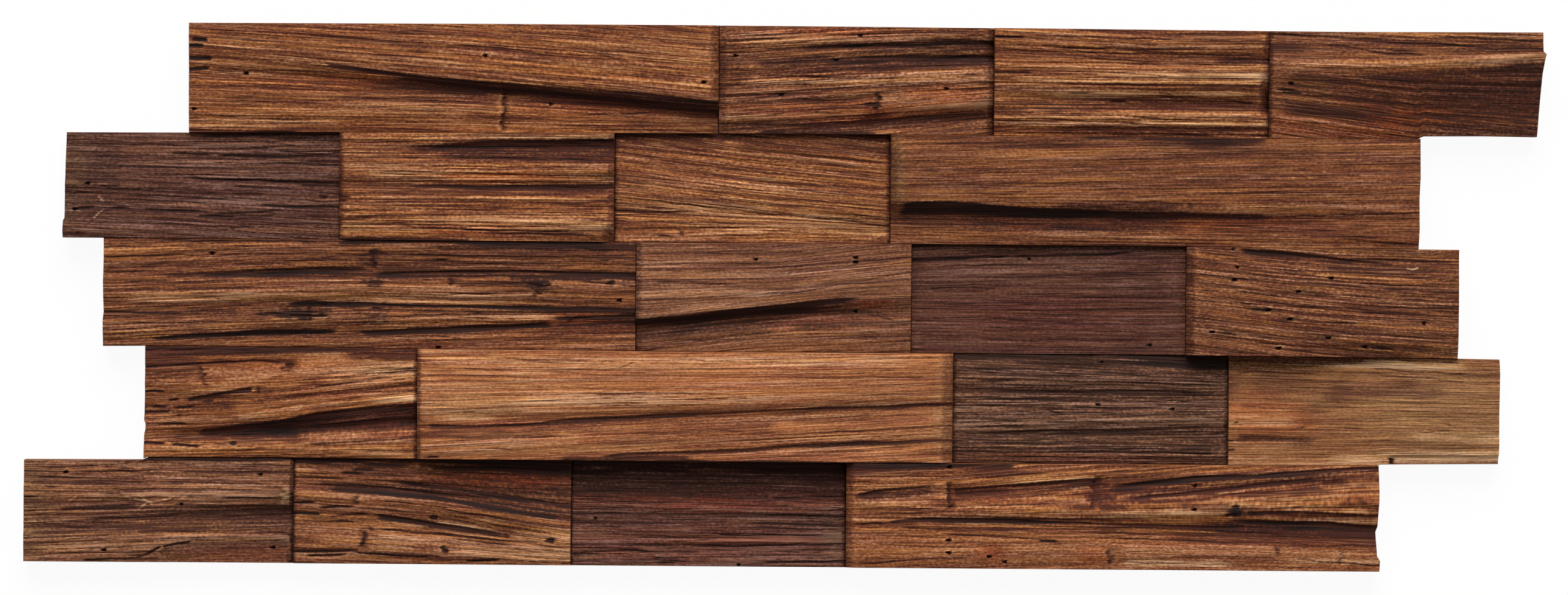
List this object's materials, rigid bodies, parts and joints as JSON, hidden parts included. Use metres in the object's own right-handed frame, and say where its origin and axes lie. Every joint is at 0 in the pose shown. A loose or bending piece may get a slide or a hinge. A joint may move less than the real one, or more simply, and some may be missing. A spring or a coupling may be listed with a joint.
{
  "type": "wall cladding panel",
  "caption": "Interlocking wall cladding panel of riven wood blocks in staggered rows, with a flat back and a deeply split face.",
  "frame": {"origin": "middle of the panel's flat back", "axes": "+X along the rows to the right as seen on the wall, +Y up the wall, +Z out of the wall through the riven face"},
  "size_m": [0.56, 0.2, 0.019],
  "materials": {
    "amber_brown": "riven, bare, weathered golden brown",
    "russet_brown": "riven, bare, weathered reddish brown",
    "umber_brown": "riven, bare, weathered dark brown",
    "plum_brown": "riven, bare, weathered dark purplish brown"
  },
  "bodies": {
    "root": {"row_1_long_block": "amber_brown", "row_1_block_2": "amber_brown", "row_1_block_3": "amber_brown", "row_1_block_4": "russet_brown", "row_2_block_1": "plum_brown", "row_2_block_2": "amber_brown", "row_2_block_3": "russet_brown", "row_2_long_block": "russet_brown", "row_3_long_block": "umber_brown", "row_3_block_2": "russet_brown", "row_3_block_3": "plum_brown", "row_3_block_4": "russet_brown", "row_4_block_1": "amber_brown", "row_4_long_block": "amber_brown", "row_4_block_3": "umber_brown", "row_4_block_4": "amber_brown", "row_5_block_1": "russet_brown", "row_5_block_2": "amber_brown", "row_5_block_3": "plum_brown", "row_5_long_block": "russet_brown"}
  },
  "joints": []
}
